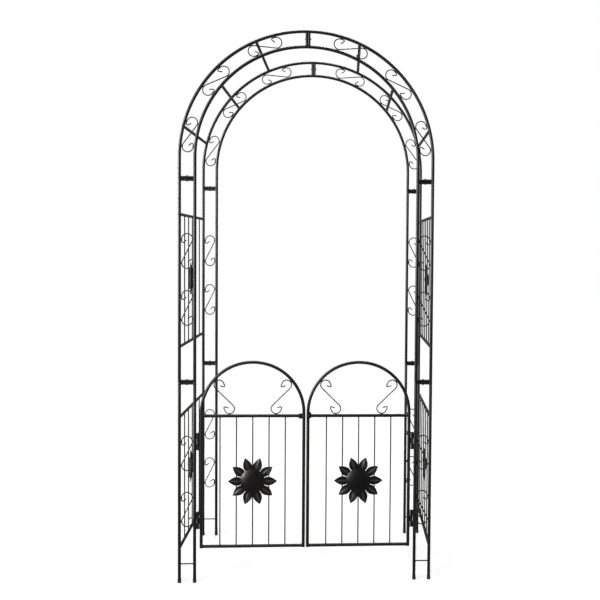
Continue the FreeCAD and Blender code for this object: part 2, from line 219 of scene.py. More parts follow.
steel = {
    "dark": (0.006, 0.006, 0.007, 1),
    "pale": (0.022, 0.020, 0.019, 1),
    "scratched": (0.060, 0.058, 0.056, 1),
    "patchBand": (0.35, 0.7),
    "scratchBand": (0.62, 0.78),
    "scratchShare": 0.5,
    "roughness": 0.32,
    "roughnessSpread": 0.22,
    "metallic": 0.3,
    "specular": 0.1,
    "patchScale": 420,
    "scratchScale": 1900,
    "scratchHeight": 0.00004,
    "scratchStrength": 0.7,
}
plastic = {
    "dark": (0.006, 0.006, 0.006, 1),
    "scuffed": (0.030, 0.028, 0.026, 1),
    "scuffBand": (0.5, 0.75),
    "scuffShare": 0.7,
    "roughness": 0.5,
    "roughnessSpread": 0.25,
    "specular": 0.14,
    "scuffScale": 160,
    "sparkScale": 1500,
    "sparkHeight": 0.00006,
    "sparkStrength": 0.8,
}


def newMaterial(name):
    material = bpy.data.materials.new(name)
    material.use_nodes = True
    material.node_tree.nodes.clear()
    return material, NodeMaker(material.node_tree)


def finishMaterial(make, shader):
    make.node("ShaderNodeOutputMaterial", {}, {"Surface": shader})


def finishGlossy(make, colour, rough, height, strength, depth, values):
    bump = make.node("ShaderNodeBump", {}, {"Strength": strength, "Distance": depth, "Height": height})
    finishMaterial(make, make.node("ShaderNodeBsdfPrincipled", {}, {
        "Base Color": colour, "Roughness": rough, "Normal": bump, **values}))


def powderCoat(name, specular, gloss=0.0, relief=None):
    material, make = newMaterial(name)
    place = make.node("ShaderNodeTexCoord", output=3)
    cloud = make.noise(place, coat["cloudScale"], detail=4.0)
    peel = make.noise(place, coat["peelScale"], detail=2.0)
    grain = make.noise(place, coat["grainScale"], detail=2.0, rough=0.7)
    smudge = make.noise(place, coat["smudgeScale"], detail=5.0, rough=0.65)

    brownish = cloud.between(*coat["brownBand"]) * coat["brownShare"]
    colour = make.mixed(brownish, coat["black"], coat["brown"])
    smudged = smudge.between(*coat["smudgeBand"]) * coat["smudgeShare"]
    dusty = smudged + grain.between(*coat["grainBand"]) * coat["grainShare"]
    colour = make.mixed(dusty, colour, coat["dust"])
    height = peel + grain * coat["grainHeight"]
    if relief:        # painted highlight and shade: what stands proud is painted lighter and the hollows stay black, standing for light on the ridges and shade in the hollows
        raised = make.node("ShaderNodeAttribute", {"attribute_name": relief}, output=2)
        colour = make.mixed(raised.between(*coat["paintedRidgeHighlightBand"]), colour, coat["paintedRidgeHighlight"])
        height = height + smudge * coat["smudgeHeight"]
    rough = coat["roughness"] - gloss + smudge.between(*coat["roughBand"]) * coat["roughnessSpread"]
    finishGlossy(make, colour, rough, height, 1.0, coat["peelHeight"], {"Specular IOR Level": specular})
    return material


def blackenedSteel(name):
    material, make = newMaterial(name)
    place = make.node("ShaderNodeTexCoord", output=3)
    patch = make.noise(place, steel["patchScale"], detail=4.0, rough=0.6)
    scratch = make.noise(place, steel["scratchScale"], detail=2.0, rough=0.8)
    colour = make.mixed(patch.between(*steel["patchBand"]), steel["dark"], steel["pale"])
    scratched = scratch.between(*steel["scratchBand"]) * steel["scratchShare"]
    colour = make.mixed(scratched, colour, steel["scratched"])
    rough = patch * steel["roughnessSpread"] + steel["roughness"]
    finishGlossy(make, colour, rough, scratch, steel["scratchStrength"], steel["scratchHeight"], {
        "Metallic": steel["metallic"], "Specular IOR Level": steel["specular"]})
    return material


def mouldedPlastic(name):
    material, make = newMaterial(name)
    place = make.node("ShaderNodeTexCoord", output=3)
    spark = make.noise(place, plastic["sparkScale"], detail=2.0, rough=0.7)
    scuff = make.noise(place, plastic["scuffScale"], detail=5.0, rough=0.6)
    scuffed = scuff.between(*plastic["scuffBand"]) * plastic["scuffShare"]
    colour = make.mixed(scuffed, plastic["dark"], plastic["scuffed"])
    rough = scuff * plastic["roughnessSpread"] + plastic["roughness"]
    finishGlossy(make, colour, rough, spark, plastic["sparkStrength"], plastic["sparkHeight"], {
        "Specular IOR Level": plastic["specular"]})
    return material


tubeCoat = powderCoat("tube_coat", coat["specular"])
wireCoat = powderCoat("wire_coat", coat["specular"], coat["wireGloss"])
# same powder coat as the tubes, made darker by less reflection: painted shade on the crossbars and side
# bars
shadedBarCoat = powderCoat("shaded_bar_coat", coat["shadedBarSpecular"], coat["shadedBarGloss"])
# the flower coat paints its raised ridges lighter and its hollows black: painted highlight and shade
flowerCoat = powderCoat("flower_coat", coat["pressedSpecular"], coat["pressedGloss"], "raised")
fastenerSteel = blackenedSteel("fastener_steel")
capPlastic = mouldedPlastic("cap_plastic")
print("materials made")


# Geometry Nodes: round bars along paths, parts set on points, petals in a ring, rows of rods

def sweptCircle(make, given, scale):        # a round section along the path that comes in
    path = make.node("GeometryNodeMeshToCurve", {}, {"Mesh": given["Geometry"]})
    ring = make.node("GeometryNodeCurvePrimitiveCircle", {"mode": "RADIUS"}, {
        "Resolution": given["Sides"], "Radius": given["Radius"]})
    return make.node("GeometryNodeCurveToMesh", {}, {
        "Curve": path, "Profile Curve": ring, "Scale": scale, "Fill Caps": True})


def barTree():
    make, given = newTree("roundBar", {
        "Radius": "Float", "Sides": "Int", "Lumps": "Float", "Lump Scale": "Float", "Material": "Material"})
    place = make.node("GeometryNodeInputPosition")
    lumps = make.node("ShaderNodeTexNoise", {}, {
        "Vector": place, "Scale": given["Lump Scale"], "Detail": 2.0})
    swell = 1 + (lumps - 0.5) * given["Lumps"]
    bar = sweptCircle(make, given, make.attribute("girth") * swell)
    smooth = make.node("GeometryNodeSetShadeSmooth", {}, {"Geometry": bar})
    return closedTree(make, smooth, given["Material"])


def pointTree():
    make, given = newTree("onPoints", {
        "Part": "Object", "Jitter": "Float", "Seed": "Int", "Material": "Material"})
    part = make.node("GeometryNodeObjectInfo", {}, {"Object": given["Part"]}, output=4)
    turn = make.node("FunctionNodeAxesToRotation", {"primary_axis": "Z", "secondary_axis": "X"}, {
        "Primary Axis": make.attribute("axis", "FLOAT_VECTOR"),
        "Secondary Axis": make.attribute("aside", "FLOAT_VECTOR")})
    chance = make.node("FunctionNodeRandomValue", {"data_type": "FLOAT"}, {
        2: 1 - given["Jitter"], 3: 1 + given["Jitter"], "Seed": given["Seed"]}, output=1)
    placed = make.node("GeometryNodeInstanceOnPoints", {}, {
        "Points": given["Geometry"], "Instance": part, "Rotation": turn, "Scale": chance})
    return closedTree(make, placed, given["Material"])


def petalTree():
    make, given = newTree("petalRing", {"Petals": "Int", "Merge": "Float", "Material": "Material"})
    spots = make.node("GeometryNodeMeshLine", {}, {"Count": given["Petals"], "Offset": (0, 0, 0)})
    number = make.node("GeometryNodeInputIndex")
    turn = make.node("ShaderNodeCombineXYZ", {}, {"Z": number * (math.tau / given["Petals"])})
    ring = make.node("GeometryNodeInstanceOnPoints", {}, {
        "Points": spots, "Instance": given["Geometry"], "Rotation": turn})
    real = make.node("GeometryNodeRealizeInstances", {}, {"Geometry": ring})
    joined = make.node("GeometryNodeMergeByDistance", {}, {"Geometry": real, "Distance": given["Merge"]})
    smooth = make.node("GeometryNodeSetShadeSmooth", {}, {"Geometry": joined})
    return closedTree(make, smooth, given["Material"])


def rodTree():
    make, given = newTree("rodRow", {
        "Rods": "Int", "Pitch": "Vector", "Radius": "Float", "Sides": "Int", "Material": "Material"})
    rod = sweptCircle(make, given, make.attribute("girth"))
    spots = make.node("GeometryNodeMeshLine", {"mode": "OFFSET"}, {
        "Count": given["Rods"], "Offset": given["Pitch"]})
    row = make.node("GeometryNodeInstanceOnPoints", {}, {"Points": spots, "Instance": rod})
    smooth = make.node("GeometryNodeSetShadeSmooth", {}, {"Geometry": row})
    return closedTree(make, smooth, given["Material"])


roundBar = barTree()
onPoints = pointTree()
petalRing = petalTree()
rodRow = rodTree()


# Paths: points with a girth, so that an end can be rounded or chamfered

roundness = {
    "tube": 24,
    "bar": 20,
    "rod": 14,
    "wire": 12,
    "bead": 8,
    "turned": 32,
    "endSteps": 4,
    "endGirth": 0.08,
    "edgeSegments": 2,
    "merge": 0.01 * mm,
}
lipEnd = ((0.0, 0.90), (0.35 * mm, 0.985), (0.8 * mm, 1.0))        # (distance from the end, girth)
plainEnd = ((0.0, 1.0),)


def roundEnd(radius):
    end = []
    for step in range(roundness["endSteps"] + 1):
        turn = math.pi / 2 * step / roundness["endSteps"]
        end.append((radius * (1 - math.cos(turn)), max(roundness["endGirth"], math.sin(turn))))
    return tuple(end)


def endedPath(points, ends):
    start = (points[1] - points[0]).normalized()
    finish = (points[-2] - points[-1]).normalized()
    run = [(points[0] + start * distance, girth) for distance, girth in ends]
    run += [(point, 1.0) for point in points[1:-1]]
    run += [(points[-1] + finish * distance, girth) for distance, girth in reversed(ends)]
    return [point for point, _ in run], [girth for _, girth in run], False


def loopPath(points):
    return points, [1.0] * len(points), True


def pathMesh(paths):
    source = bpy.data.meshes.new("paths")
    vertices = []
    edges = []
    girths = []
    for points, widths, closed in paths:
        first = len(vertices)
        vertices += points
        girths += widths
        edges += [(first + number, first + number + 1) for number in range(len(points) - 1)]
        if closed:
            edges.append((first + len(points) - 1, first))
    source.from_pydata(vertices, edges, [])
    source.attributes.new("girth", "FLOAT", "POINT").data.foreach_set("value", girths)
    return source


def bars(paths, radius, kind="bar", material=tubeCoat, lumps=0.0, lumpScale=300.0):
    return runTree(pathMesh(paths), roundBar, {
        "Radius": radius, "Sides": roundness[kind], "Lumps": lumps, "Lump Scale": lumpScale,
        "Material": material})


def setOnPoints(places, part, material, jitter=0.0, seed=1):        # places: (point, axis, aside)
    source = bpy.data.meshes.new("points")
    source.from_pydata([point for point, _, _ in places], [], [])
    for label, column in (("axis", 1), ("aside", 2)):
        values = [number for place in places for number in place[column]]
        source.attributes.new(label, "FLOAT_VECTOR", "POINT").data.foreach_set("vector", values)
    holder = inScene("part", part)
    mesh = runTree(source, onPoints, {"Part": holder, "Jitter": jitter, "Seed": seed, "Material": material})
    bpy.data.objects.remove(holder)
    return mesh


# Solid shapes: rings joined by faces, flat plates, boxes

def finished(shape):
    mesh = bpy.data.meshes.new("shape")
    shape.to_mesh(mesh)
    shape.free()
    return mesh


def roundEdges(shape, lines, edge):
    bmesh.ops.bevel(shape, geom=lines, offset=edge, segments=roundness["edgeSegments"], profile=0.5,
                    affect="EDGES")


def sharpLines(shape, degrees):
    return [line for line in shape.edges if line.calc_face_angle(0) > math.radians(degrees)]


def skin(loops, closed=False):        # faces between rings of equally many points
    mesh = bpy.data.meshes.new("skin")
    count = len(loops[0])
    faces = []
    rings = len(loops)
    for ring in range(rings if closed else rings - 1):
        after = (ring + 1) % rings
        for number in range(count):
            beside = (number + 1) % count
            faces.append((ring * count + number, ring * count + beside, after * count + beside,
                          after * count + number))
    if not closed:
        faces.append(tuple(range(count)))
        faces.append(tuple((rings - 1) * count + number for number in range(count)))
    mesh.from_pydata([point for loop in loops for point in loop], [], faces)
    return mesh


def circle(radius, height, count):
    turns = [math.tau * number / count for number in range(count)]
    return [Vector((radius * math.cos(turn), radius * math.sin(turn), height)) for turn in turns]


def lathe(profile, closed=False, count=roundness["turned"]):        # profile: (radius, height) pairs
    return skin([circle(radius, height, count) for radius, height in profile], closed)


def slab(outline, thickness, edge):        # flat outline in X and Y, thick along Z, its rims rounded
    shape = bmesh.new()
    face = shape.faces.new([shape.verts.new((x, y, 0)) for x, y in outline])
    grown = bmesh.ops.extrude_face_region(shape, geom=[face])
    raised = [item for item in grown["geom"] if isinstance(item, bmesh.types.BMVert)]
    bmesh.ops.translate(shape, verts=raised, vec=(0, 0, thickness))
    bmesh.ops.recalc_face_normals(shape, faces=shape.faces)
    roundEdges(shape, sharpLines(shape, degrees=30), edge)
    return finished(shape)


def boxed(low, high, edge):        # box with rounded edges
    shape = bmesh.new()
    bmesh.ops.create_cube(shape, size=1.0)
    size = high - low
    for corner in shape.verts:
        corner.co = Vector(((corner.co.x + 0.5) * size.x, (corner.co.y + 0.5) * size.y,
                            (corner.co.z + 0.5) * size.z)) + low
    roundEdges(shape, shape.edges[:], edge)
    return finished(shape)


def softened(node, edge):        # the faces of a CAD part joined and its edges rounded
    shape = bmesh.new()
    shape.from_mesh(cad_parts[node].data)
    bmesh.ops.remove_doubles(shape, verts=shape.verts, dist=roundness["merge"])
    bmesh.ops.dissolve_limit(shape, angle_limit=math.radians(1), verts=shape.verts, edges=shape.edges)
    roundEdges(shape, sharpLines(shape, degrees=20), edge)
    return finished(shape)


def apart(pairs):        # each pair is a path and a list of its loops or tacks
    return [path for path, _ in pairs], [item for _, items in pairs for item in items]


def moved(mesh, matrix):
    mesh.transform(matrix)
    return mesh


def piece(name, body, meshes, material, nodes=(), sharp=40):
    shape = bmesh.new()
    for part in meshes:
        shape.from_mesh(part)
    bmesh.ops.recalc_face_normals(shape, faces=shape.faces)
    for face in shape.faces:
        face.material_index = 0
        face.smooth = True
    mesh = finished(shape)
    mesh.name = name
    mesh.set_sharp_from_angle(angle=math.radians(sharp))
    mesh.materials.clear()
    mesh.materials.append(material)
    made = inScene(name, mesh)
    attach(made, body)
    if nodes:
        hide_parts(*nodes)
    return made


# Weld beads: a rough ring where a bar meets a tube, and small tacks where a wire touches

weld = {
    "beadRadius": 1.15 * mm,
    "smallBeadRadius": 0.7 * mm,
    "beadSteps": 28,
    "rodBeadSteps": 14,
    "lumps": 0.9,
    "lumpScale": 420.0,
    "tackRadius": 1.9 * mm,
    "tackStretch": 1.7,
    "tackRipple": 0.12,
    "tackRippleRate": 5.0,
    "intoTube": 2.9 * mm,
    "rodIntoTube": 0.9 * mm,
}


# the loop where a bar leaves the tube or bar that carries it
def saddle(onAxis, hostAxis, outward, barRadius, hostRadius=tubeRadius, steps=weld["beadSteps"]):
    aside = outward.cross(hostAxis).normalized()
    points = []
    for number in range(steps):
        turn = math.tau * number / steps
        across = barRadius * math.sin(turn)
        reach = math.sqrt(hostRadius ** 2 - across ** 2)
        points.append(onAxis + hostAxis * (barRadius * math.cos(turn)) + aside * across + outward * reach)
    return loopPath(points)


# a bar from one tube to another, and the loops of its two welds
def weldedBar(start, end, along, hostAxis, radius, reach=weld["intoTube"]):
    inset = along * (tubeRadius - reach)
    loops = [saddle(start, hostAxis, along, radius), saddle(end, hostAxis, -along, radius)]
    return endedPath([start + inset, end - inset], plainEnd), loops


def beads(loops, radius):
    return bars(loops, radius, "bead", tubeCoat, weld["lumps"], weld["lumpScale"])


def smallBeads(loops):
    return beads(loops, weld["smallBeadRadius"])


def tackMesh():
    shape = bmesh.new()
    radius = weld["tackRadius"]
    bmesh.ops.create_icosphere(shape, subdivisions=2, radius=radius)
    for corner in shape.verts:
        wave = math.sin(corner.co.z / radius * weld["tackRippleRate"] + corner.co.x / mm)
        ripple = 1 + weld["tackRipple"] * wave
        corner.co = Vector((corner.co.x * ripple, corner.co.y * ripple, corner.co.z * weld["tackStretch"]))
    return finished(shape)


# upright rods in a row and their welds, where place turns an offset and a height into a point
def rodsBetween(place, low, high, pitch, way, count, radius, hostRadius):
    hostAxis = backward if way.y else rightward
    first = -(count - 1) / 2 * pitch
    inset = hostRadius - weld["rodIntoTube"]
    rod = pathMesh([endedPath([place(first, low + inset), place(first, high - inset)], plainEnd)])
    row = runTree(rod, rodRow, {"Rods": count, "Pitch": way * pitch, "Radius": radius,
                                "Sides": roundness["rod"], "Material": tubeCoat})
    loops = []
    for number in range(count):
        for height, outward in ((low, upward), (high, -upward)):
            spot = place(first + number * pitch, height)
            loops.append(saddle(spot, hostAxis, outward, radius, hostRadius, weld["rodBeadSteps"]))
    return [row, smallBeads(loops)]


tack = tackMesh()


# Ladders: two tubes with rungs between them, bolted together at the double rungs

ladder = {
    "jointRungRadius": 5.0 * mm,
    "footRungRadius": 2.5 * mm,
    "footRungHeight": 76.0 * mm,
    "arcSteps": 60,
}


def quarterArc(radius, side, y):
    steps = ladder["arcSteps"]
    points = [Vector((radius * side, y, postTop))]
    for number in range(steps + 1):
        turn = math.pi / 2 * number / steps
        points.append(Vector((radius * math.cos(turn) * side, y, archCentre + radius * math.sin(turn))))
    return points


def rung(height, radius, side, y):        # bar across the ladder
    reach = weld["intoTube"] if radius > ladder["footRungRadius"] else weld["rodIntoTube"]
    inside = Vector((innerX * side, y, height))
    outside = Vector((outerX * side, y, height))
    return weldedBar(inside, outside, (outside - inside).normalized(), upward, radius, reach)


def topRung(side, y):        # upright bar beside the middle of the arch
    radius = ladder["jointRungRadius"]
    low = Vector((radius * side, y, archCentre + innerX))
    high = Vector((radius * side, y, archCentre + outerX))
    return weldedBar(low, high, upward, rightward, radius)


def ladderPiece(name, lines, jointRungs, footRungs=()):
    paths, loops = apart(jointRungs)
    meshes = [bars([endedPath(line, lipEnd) for line in lines], tubeRadius, "tube"),
              bars(paths, ladder["jointRungRadius"]), beads(loops, weld["beadRadius"])]
    if footRungs:
        paths, loops = apart(footRungs)
        meshes += [bars(paths, ladder["footRungRadius"], "rod"), smallBeads(loops)]
    piece(name + "_ladder", "arch", meshes, tubeCoat, [name])


def uprights(side, y, low, high):
    return [[Vector((x * side, y, low)), Vector((x * side, y, high))] for x in (innerX, outerX)]


def makeLadders(plane, y, name, side):
    thick = ladder["jointRungRadius"]
    ladderPiece(f"{plane}_{name}_leg", uprights(side, y, legBottom, legTop),
                [rung(legTop - thick, thick, side, y)],
                [rung(ladder["footRungHeight"], ladder["footRungRadius"], side, y)])
    ladderPiece(f"{plane}_{name}_post", uprights(side, y, legTop, postTop),
                [rung(legTop + thick, thick, side, y), rung(postTop - thick, thick, side, y)])
    ladderPiece(f"{plane}_{name}_arch", [quarterArc(radius, side, y) for radius in (innerX, outerX)],
                [rung(postTop + thick, thick, side, y), topRung(side, y)])


# Scrolls: two curls of wire joined by a straight run, each curl ending in a small hook

scroll = {
    "wire": 4.5 * mm,
    "height": 142.0 * mm,
    "gap": 0.3 * mm,
    "bendSwell": 1.1,
    "hookRadius": 4.5 * mm,
    "hookDrop": 10.0 * mm,
    "hookTurn": 123.0,
    "tipShare": (0.11, 0.21),
    "spacing": 225.0 * mm,
    "lift": 5.0 * mm,
    "archSpacing": 238.0 * mm,
    "curlSteps": 26,
    "hookSteps": 9,
    "tackJitter": 0.18,
    "tackSeed": 4,
}


def scrollLine(curl, reach):        # (across, along) pairs about the middle
    start = 270 - math.degrees(math.acos(curl / reach))
    half = []
    for number in range(scroll["curlSteps"] + 1):
        turn = math.radians(start * (1 - number / scroll["curlSteps"]))
        half.append((curl * math.cos(turn), reach + curl * math.sin(turn)))
    hookAcross = curl - scroll["hookRadius"]
    hookAlong = reach - scroll["hookDrop"]
    for number in range(scroll["hookSteps"] + 1):
        turn = math.radians(-scroll["hookTurn"] * number / scroll["hookSteps"])
        half.append((hookAcross + scroll["hookRadius"] * math.cos(turn),
                     hookAlong + scroll["hookRadius"] * math.sin(turn)))
    half.append((curl * scroll["tipShare"][0], reach - curl * scroll["tipShare"][1]))
    other = [(-across, -along) for across, along in half]
    return half[::-1] + other


def scrollPath(points):
    return endedPath(points, roundEnd(scroll["wire"] / 2))


def onLadder(along, across, side, y):        # straight up the ladder, then round the arch
    if along <= archCentre:
        return Vector(((ladderX + across) * side, y, along))
    turn = (along - archCentre) / ladderX
    reach = ladderX + across
    return Vector((reach * math.cos(turn) * side, y, archCentre + reach * math.sin(turn)))


def scrollMiddles():        # two on the leg, two on the post, three on the arch
    middles = []
    for low, high in ((0.0, legTop), (legTop, postTop)):
        middle = (low + high) / 2 + scroll["lift"]
        middles += [middle - scroll["spacing"] / 2, middle + scroll["spacing"] / 2]
    archMiddle = postTop + (archCentre - postTop + ladderX * math.pi / 2) / 2
    return middles + [archMiddle + step * scroll["archSpacing"] for step in (-1, 0, 1)]


def ladderCurl():
    clear = (outerX - innerX) / 2 - tubeRadius
    return clear - scroll["gap"] - scroll["wire"] / 2 * scroll["bendSwell"]


def makeScrolls(plane, y, name, side):
    curl = ladderCurl()
    reach = (scroll["height"] - scroll["wire"]) / 2 - curl
    paths = []
    tacks = []
    for middle in scrollMiddles():
        paths.append(scrollPath([onLadder(middle + along, across, side, y)
                                 for across, along in scrollLine(curl, reach)]))
        for along in (-reach, reach):
            for across in (-1, 1):
                spot = onLadder(middle + along, across * (curl + scroll["wire"] / 2), side, y)
                beyond = onLadder(middle + along + mm, across * (curl + scroll["wire"] / 2), side, y)
                tacks.append((spot, (beyond - spot).normalized(), backward))
    wires = bars(paths, scroll["wire"] / 2, "wire", wireCoat)
    welds = setOnPoints(tacks, tack, wireCoat, scroll["tackJitter"], scroll["tackSeed"])
    piece(f"{plane}_{name}_wire_scrolls", "arch", [wires, welds], wireCoat, [f"{plane}_{name}_scrolls"])


for plane, y in planes.items():
    for name, side in sides.items():
        makeLadders(plane, y, name, side)
        makeScrolls(plane, y, name, side)
print("ladders and scrolls made")


# Caps under the tubes

cap = {
    "height": 14.0 * mm,
    "floor": 2.0 * mm,
    "wall": 1.2 * mm,
    "clearance": 0.05 * mm,
    "edge": 0.9 * mm,
    "corner": 0.25 * mm,
    "footHeight": 3.0 * mm,
    "lipHeight": 2.2 * mm,
    "lipEdge": 0.4 * mm,
    "waist": 0.35 * mm,
    "middle": 0.6 * mm,
    "around": 36,
}


def makeCaps():
    inside = tubeRadius + cap["clearance"]
    outside = inside + cap["wall"]
    waist = outside - cap["waist"]
    lip = cap["height"] - cap["lipHeight"]
    profile = [(cap["middle"], 0.0), (outside - cap["edge"], 0.0), (outside - cap["corner"], cap["corner"]),
               (outside, cap["edge"]), (waist, cap["footHeight"]), (waist, lip),
               (outside, lip + cap["lipEdge"]), (outside, cap["height"] - cap["lipEdge"]),
               (outside - cap["lipEdge"], cap["height"]), (inside, cap["height"]), (inside, cap["floor"]),
               (cap["middle"], cap["floor"])]
    shape = lathe(profile, count=cap["around"])
    places = [(Vector((x * side, y, 0.0)), upward, rightward)
              for y in planes.values() for side in sides.values() for x in (innerX, outerX)]
    caps = setOnPoints(places, shape, capPlastic)
    piece("moulded_foot_caps", "arch", [caps], capPlastic, ["foot_caps"])


# Bolts through the double rungs, and low screws that hold the crossbars and side panels

fastener = {
    "boltRadius": 2.0 * mm,
    "headSize": 7.0 * mm,        # across the flats
    "headHeight": 1.6 * mm,
    "nutHeight": 2.2 * mm,
    "stickOut": 0.3 * mm,
    "chamfer": 0.4 * mm,
    "chamferAngle": 60,
    "chamferSteps": 4,
    "chamferShare": 0.97,
    "threadPitch": 0.7 * mm,
    "threadDepth": 0.35 * mm,
    "threadStart": 1.5 * mm,
    "threadClearance": 0.05 * mm,
    "boreChamfer": 0.5 * mm,
    "screwRadius": 4.4 * mm,
    "screwHeight": 1.15 * mm,
    "screwSink": 0.6 * mm,
    "screwRim": 0.25 * mm,
    "screwCrown": 1.9 * mm,
    "screwSteps": 5,
    "screwSocket": 3.0 * mm,
    "socketTaper": 0.98,
    "socketFloor": 0.1 * mm,
    "around": 48,
    "sharp": 28,
}


def roundLoop(radius, height):
    return circle(radius, height, fastener["around"])


def hexLoop(size, height, limit=1.0):        # hexagon by its size across flats, no corner past the limit
    points = []
    for number in range(fastener["around"]):
        turn = math.tau * number / fastener["around"]
        fromFlat = (turn + math.pi / 6) % (math.pi / 3) - math.pi / 6
        reach = min(size / 2 / math.cos(fromFlat), limit)
        points.append(Vector((reach * math.cos(turn), reach * math.sin(turn), height)))
    return points


def hexBody(size, low, high, chamferedTop):        # the lower end is chamfered in any case
    depth = fastener["chamfer"]
    steps = fastener["chamferSteps"]
    slope = math.tan(math.radians(fastener["chamferAngle"]))
    cuts = [(depth * step / steps, size / 2 * fastener["chamferShare"] + depth * step / steps * slope)
            for step in range(steps)]
    loops = [hexLoop(size, low + rise, limit) for rise, limit in cuts]
    loops += [hexLoop(size, low + depth), hexLoop(size, high - depth)]
    if chamferedTop:
        return loops + [hexLoop(size, high - drop, limit) for drop, limit in reversed(cuts)]
    return loops + [hexLoop(size, high)]


def boltMesh():        # head below, its seat one rung under the origin
    seat = -2 * ladder["jointRungRadius"]
    end = -seat + fastener["nutHeight"] + fastener["stickOut"]
    loops = hexBody(fastener["headSize"], seat - fastener["headHeight"], seat, False)
    loops.append(roundLoop(fastener["boltRadius"], seat))
    root = fastener["boltRadius"] - fastener["threadDepth"]
    height = -seat - fastener["threadStart"]
    halfPitch = fastener["threadPitch"] / 2
    while height < end - halfPitch:
        loops += [roundLoop(fastener["boltRadius"], height), roundLoop(root, height + halfPitch)]
        height += fastener["threadPitch"]
    loops.append(roundLoop(root, end))
    return skin(loops)


def nutMesh():
    seat = 2 * ladder["jointRungRadius"]
    top = seat + fastener["nutHeight"]
    bore = fastener["boltRadius"] + fastener["threadClearance"]
    chamfer = fastener["boreChamfer"]
    loops = hexBody(fastener["headSize"], seat, top, True)
    loops += [roundLoop(bore + chamfer, top), roundLoop(bore, top - chamfer), roundLoop(bore, seat)]
    return skin(loops, closed=True)


def screwMesh():        # low round head with a hex socket, its seat at the origin
    radius = fastener["screwRadius"]
    rim = fastener["screwRim"]
    loops = [roundLoop(radius, -fastener["screwSink"]), roundLoop(radius, rim)]
    for step in range(1, fastener["screwSteps"] + 1):
        turn = math.pi / 2 * step / fastener["screwSteps"]
        loops.append(roundLoop(radius - fastener["screwCrown"] * (1 - math.cos(turn)),
                               rim + (fastener["screwHeight"] - rim) * math.sin(turn)))
    loops.append(hexLoop(fastener["screwSocket"], fastener["screwHeight"]))
    loops.append(hexLoop(fastener["screwSocket"] * fastener["socketTaper"], fastener["socketFloor"]))
    return skin(loops)


def fastenerPiece(name, places, shape, nodes=()):
    meshes = [setOnPoints(places, shape, fastenerSteel)]
    piece(name, "arch", meshes, fastenerSteel, nodes, fastener["sharp"])


def makeBolts():
    joints = [(Vector((0, y, archCentre + ladderX)), rightward, upward) for y in planes.values()]
    for y in planes.values():
        for side in sides.values():
            for height in (legTop, postTop):
                joints.append((Vector((ladderX * side, y, height)), upward, rightward))
    fastenerPiece("hex_bolts", joints, boltMesh(), ["joint_bolts"])
    fastenerPiece("hex_nuts", joints, nutMesh(), ["joint_nuts"])


makeCaps()
makeBolts()
print("caps, bolts and nuts made")


# Crossbars over the arch, and the side panels between the legs

depthBar = {
    "radius": 6.0 * mm,        # crossbars and the two bars of a side panel
    "rodRadius": 2.5 * mm,
    "rodPitch": 86.0 * mm,
    "rods": 5,
    "levels": ("lower", "inner", "upper"),
}
screwPlaces = []


def barThrough(x, z, tubeAxis):        # bar from the front tube to the back tube
    front = Vector((x, planes["front"], z))
    back = Vector((x, planes["back"], z))
    screwPlaces.append((front - backward * tubeRadius, -backward, tubeAxis))
    screwPlaces.append((back + backward * tubeRadius, backward, tubeAxis))
    return weldedBar(front, back, backward, tubeAxis, depthBar["radius"])


def makeCrossbars(name):
    for level in depthBar["levels"]:
        node = f"{name}_{level}_crossbar"
        low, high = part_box(node)
        centre = (low + high) / 2
        fromMiddle = Vector((centre.x, 0, centre.z - archCentre))
        onTube = fromMiddle.normalized() * (innerX if level == "inner" else outerX)
        tubeAxis = backward.cross(onTube.normalized())
        path, loops = barThrough(onTube.x, archCentre + onTube.z, tubeAxis)
        meshes = [bars([path], depthBar["radius"]), smallBeads(loops)]
        # the crossbars take the shaded copy of the coat: painted shade
        piece(f"{node}_bar", "arch", meshes, shadedBarCoat, [node])


def makeSidePanels(name, side):
    for level in ("lower", "upper"):
        node = f"{name}_{level}_side_panel"
        low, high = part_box(node)
        x = outerX * side
        bottom = low.z + depthBar["radius"]
        top = high.z - depthBar["radius"]
        paths, loops = apart([barThrough(x, height, upward) for height in (bottom, top)])
        rods, rodWelds = rodsBetween(lambda y, z: Vector((x, y, z)), bottom, top, depthBar["rodPitch"],
                                     backward, depthBar["rods"], depthBar["rodRadius"], depthBar["radius"])
        meshes = [bars(paths, depthBar["radius"]), rods, smallBeads(loops), rodWelds]
        # the side panel bars take the shaded copy of the coat: painted shade
        piece(f"{node}_bars", "arch", meshes, shadedBarCoat, [node])


for name, side in sides.items():
    makeCrossbars(name)
    makeSidePanels(name, side)
fastenerPiece("socket_screws", screwPlaces, screwMesh())
print("crossbars and side panels made")


# Pressed sunflowers: one petal with its share of the disc, set ten times round, and the dome

flower = {
    "petals": 10,
    "sheet": 1.2 * mm,
    "baseShare": 0.46,
    "halfWidth": 0.18,
    "widthStart": 0.24,
    "bodyStart": 0.06,
    "crown": 0.85 * mm,
    "ridge": 2.0 * mm,
    "ridgeWidth": 1.875 * mm,
    "veinDepth": 1.3 * mm,
    "veinWidth": 1.1875 * mm,
    "veinPlace": 0.46,
    "veinFade": 1.5,
    "rimLift": 0.35 * mm,
    "rimPower": 6,
    "alongSteps": 42,
    "acrossSteps": 46,
    "stepBias": 0.9,
    "discRings": (1.0, 0.8, 0.5, 0.2),        # shares of the disc's radius
    "merge": 0.02 * mm,
    "domeSkirt": 0.8 * mm,
    "domeCorner": 0.25 * mm,
    "domeFoot": 0.96,
    "domeTaper": 0.998,
    "domeTip": 0.3 * mm,
    "domeRings": 26,
    "domeSides": 96,
}


def petalHalfWidth(share):        # a pointed leaf, share 0 at the dome and 1 at the tip
    start = flower["widthStart"]
    return flower["halfWidth"] * math.sin(math.pi * (start + (1 - start) * share))


